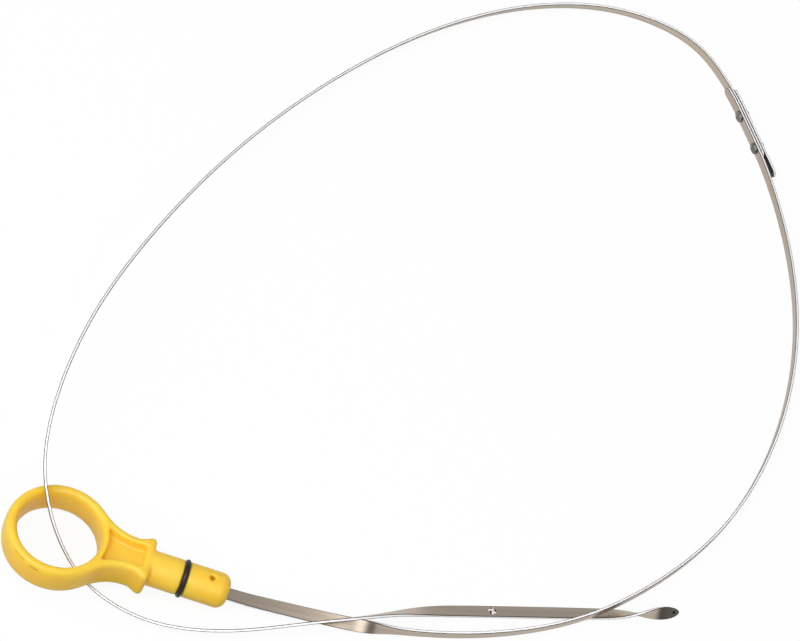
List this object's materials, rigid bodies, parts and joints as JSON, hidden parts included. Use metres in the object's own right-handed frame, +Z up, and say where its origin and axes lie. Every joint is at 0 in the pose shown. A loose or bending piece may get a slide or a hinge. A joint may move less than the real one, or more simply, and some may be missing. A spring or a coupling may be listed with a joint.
{
  "type": "engine oil dipstick",
  "caption": "Oil dipstick: moulded finger-ring handle with a plug stem and sealing ring, and a riveted spring-steel strip with a level mark, lying in a loose loop.",
  "frame": {"origin": "under the middle of the whole loop, on the surface it lies on", "axes": "+Z up, +X along the loop's longer way, from the handle's side to the riveted joint's side"},
  "size_m": [0.2713, 0.2419, 0.0211],
  "materials": {
    "handle_plastic": "yellow moulded plastic, slight gloss",
    "seal_rubber": "black rubber",
    "upper_strip_steel": "lengthwise brushed spring steel",
    "lower_strip_steel": "lengthwise brushed spring steel",
    "rivet_steel": "dull plated steel"
  },
  "bodies": {
    "root": {"handle": "handle_plastic", "sealing_ring": "seal_rubber", "upper_blade": "upper_strip_steel", "lower_blade": "lower_strip_steel", "joint_plate": "lower_strip_steel", "upper_rivet": "rivet_steel", "lower_rivet": "rivet_steel"}
  },
  "joints": []
}
